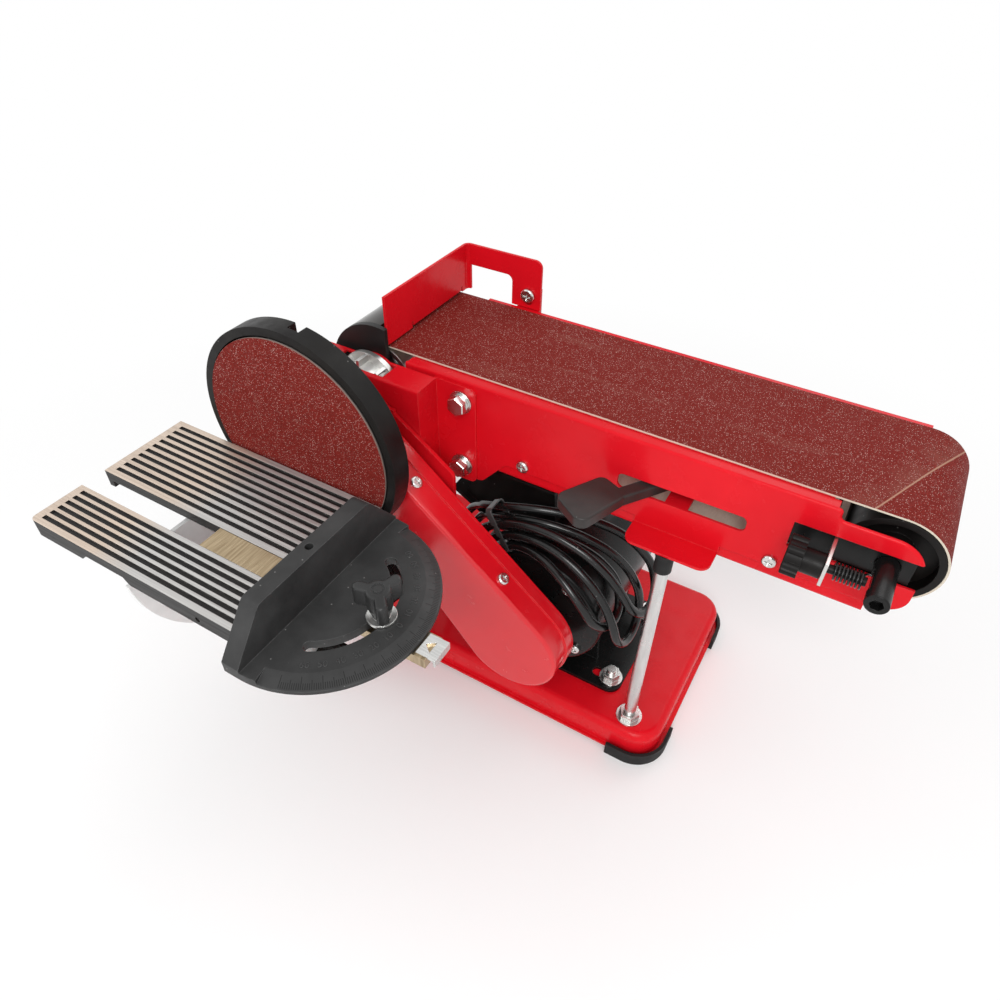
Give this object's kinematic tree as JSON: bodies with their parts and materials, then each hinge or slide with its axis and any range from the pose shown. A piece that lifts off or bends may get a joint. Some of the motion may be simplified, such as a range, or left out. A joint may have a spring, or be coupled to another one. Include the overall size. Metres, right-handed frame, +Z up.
{
  "type": "belt and disc sander",
  "caption": "Bench sander with a tilting belt arm, a vertical sanding disc, a tilting slotted table with a miter gauge, and a motor under the belt.",
  "frame": {"origin": "on the floor under the middle of the machine's box, the cord left out", "axes": "+X along the belt toward the idler nose, -Y the side of the sanding disc and table, +Z up"},
  "size_m": [0.5216, 0.399, 0.357],
  "materials": {
    "red_paint": "glossy red powder coat",
    "rubber": "matt black rubber",
    "zinc_steel": "zinc plated steel",
    "black_paint": "semi gloss black paint",
    "black_plastic": "textured black moulding",
    "cast_aluminium": "ground casting",
    "laminations": "bare sheet stack",
    "abrasive_cloth": "reddish brown grit on cloth",
    "cord_black": "shiny black sheath",
    "tie_white": "clear twist tie"
  },
  "bodies": {
    "base": {"base_tray": "red_paint", "column": "red_paint", "cover_pan": "red_paint", "drive_cover": "red_paint", "rubber_feet": "rubber", "rod_cap": "rubber", "drive_belt": "rubber", "support_rod": "zinc_steel", "structure_bolts": "zinc_steel", "motor_mount_fasteners": "zinc_steel", "motor_cap_screws": "zinc_steel", "cover_screws": "zinc_steel", "table_pivots": "zinc_steel", "bearings": "zinc_steel", "motor_bracket": "black_paint", "motor_shell": "black_paint", "motor_front_cap": "black_paint", "motor_rear_cap": "black_paint", "table_bracket": "black_paint", "disc_guard": "black_plastic", "terminal_box": "black_plastic", "bearing_carrier": "cast_aluminium", "motor_stator": "laminations", "cord_hank": "cord_black", "power_cord": "cord_black", "cord_tail": "cord_black", "strain_relief": "cord_black", "plug": "cord_black", "cord_tie": "tie_white"},
    "spindle": {"drive_shaft": "zinc_steel", "drive_drum": "cast_aluminium", "drive_pulley": "cast_aluminium", "disc_plate": "cast_aluminium", "disc_paper": "abrasive_cloth"},
    "rotor": {"motor_rotor": "laminations", "motor_shaft": "zinc_steel", "motor_pulley": "cast_aluminium"},
    "arm": {"belt_frame": "red_paint", "arm_bracket": "red_paint", "arm_bolts": "zinc_steel", "lower_cover": "red_paint", "abrasive_belt": "abrasive_cloth", "platen": "red_paint", "drum_hood": "black_plastic", "stop_screw": "zinc_steel"},
    "stop": {"work_stop": "red_paint"},
    "lever": {"tension_lever": "black_plastic"},
    "idler_carriage": {"idler_slide": "black_paint", "tracking_spring": "black_paint"},
    "axle": {"idler_axle": "black_paint"},
    "idler": {"idler_drum": "black_plastic"},
    "tracker": {"tracking_knob": "black_plastic"},
    "table": {"table_top": "cast_aluminium", "tilt_quadrants": "zinc_steel"},
    "lock_knob": {"table_lock_knob": "black_plastic"},
    "miter": {"miter_bar": "zinc_steel", "miter_pointer": "zinc_steel"},
    "protractor": {"miter_protractor": "black_paint"},
    "clamp_knob": {"miter_knob": "black_plastic"},
    "rocker": {"switch_rocker": "black_plastic"}
  },
  "joints": [
    {"name": "motor_spin", "type": "hinge", "parent": "base", "child": "rotor", "pos_m": [0.01396, 0.1015, 0.1206], "axis": [0, 1, 0], "continuous": true},
    {"name": "drive_spin", "type": "hinge", "parent": "base", "child": "spindle", "pos_m": [-0.14084, 0.1015, 0.275], "axis": [0, 1, 0], "continuous": true},
    {"name": "arm_tilt", "type": "hinge", "parent": "base", "child": "arm", "pos_m": [-0.14084, 0.1015, 0.275], "axis": [0, -1, 0], "range_deg": [0, 90]},
    {"name": "stop_lift", "type": "slide", "parent": "arm", "child": "stop", "axis": [0, 0, 1], "range_m": [0, 0.005]},
    {"name": "idler_tension", "type": "slide", "parent": "arm", "child": "idler_carriage", "axis": [1, 0, 0], "range_m": [-0.005, 0]},
    {"name": "lever_swing", "type": "hinge", "parent": "arm", "child": "lever", "pos_m": [0.10116, 0.0757, 0.262], "axis": [0, 0, 1], "range_deg": [0, 60]},
    {"name": "axle_skew", "type": "hinge", "parent": "idler_carriage", "child": "axle", "pos_m": [0.22934, 0.0461, 0.2685], "axis": [0, 0, 1], "range_deg": [0, 0.8]},
    {"name": "tracking_turn", "type": "hinge", "parent": "idler_carriage", "child": "tracker", "pos_m": [0.19736, 0.0255, 0.267], "axis": [1, 0, 0], "range_deg": [0, 360]},
    {"name": "idler_spin", "type": "hinge", "parent": "axle", "child": "idler", "pos_m": [0.22934, 0.1015, 0.2685], "axis": [0, 1, 0], "continuous": true},
    {"name": "table_tilt", "type": "hinge", "parent": "base", "child": "table", "pos_m": [-0.14084, -0.061, 0.228], "axis": [1, 0, 0], "range_deg": [0, 45]},
    {"name": "lock_turn", "type": "hinge", "parent": "base", "child": "lock_knob", "pos_m": [-0.09354, -0.10889, 0.13794], "axis": [1, 0, 0], "range_deg": [0, 180]},
    {"name": "miter_slide", "type": "slide", "parent": "table", "child": "miter", "axis": [1, 0, 0], "range_m": [-0.14, 0.03]},
    {"name": "miter_swing", "type": "hinge", "parent": "miter", "child": "protractor", "pos_m": [-0.05284, -0.1295, 0.25], "axis": [0, 0, 1], "range_deg": [-60, 60]},
    {"name": "clamp_turn", "type": "hinge", "parent": "miter", "child": "clamp_knob", "pos_m": [-0.00984, -0.1295, 0.26], "axis": [0, 0, 1], "range_deg": [0, 180]},
    {"name": "switch_rock", "type": "hinge", "parent": "base", "child": "rocker", "pos_m": [-0.02084, 0.1245, 0.182], "axis": [1, 0, 0], "range_deg": [-10, 10]}
  ],
  "couplings": [
    {"joint": "drive_spin", "follows": "motor_spin", "ratio": 1.8861},
    {"joint": "idler_spin", "follows": "motor_spin", "ratio": 1.4887},
    {"joint": "lever_swing", "follows": "idler_tension", "rad_per_m": -209.44},
    {"joint": "tracking_turn", "follows": "axle_skew", "ratio": 450}
  ]
}
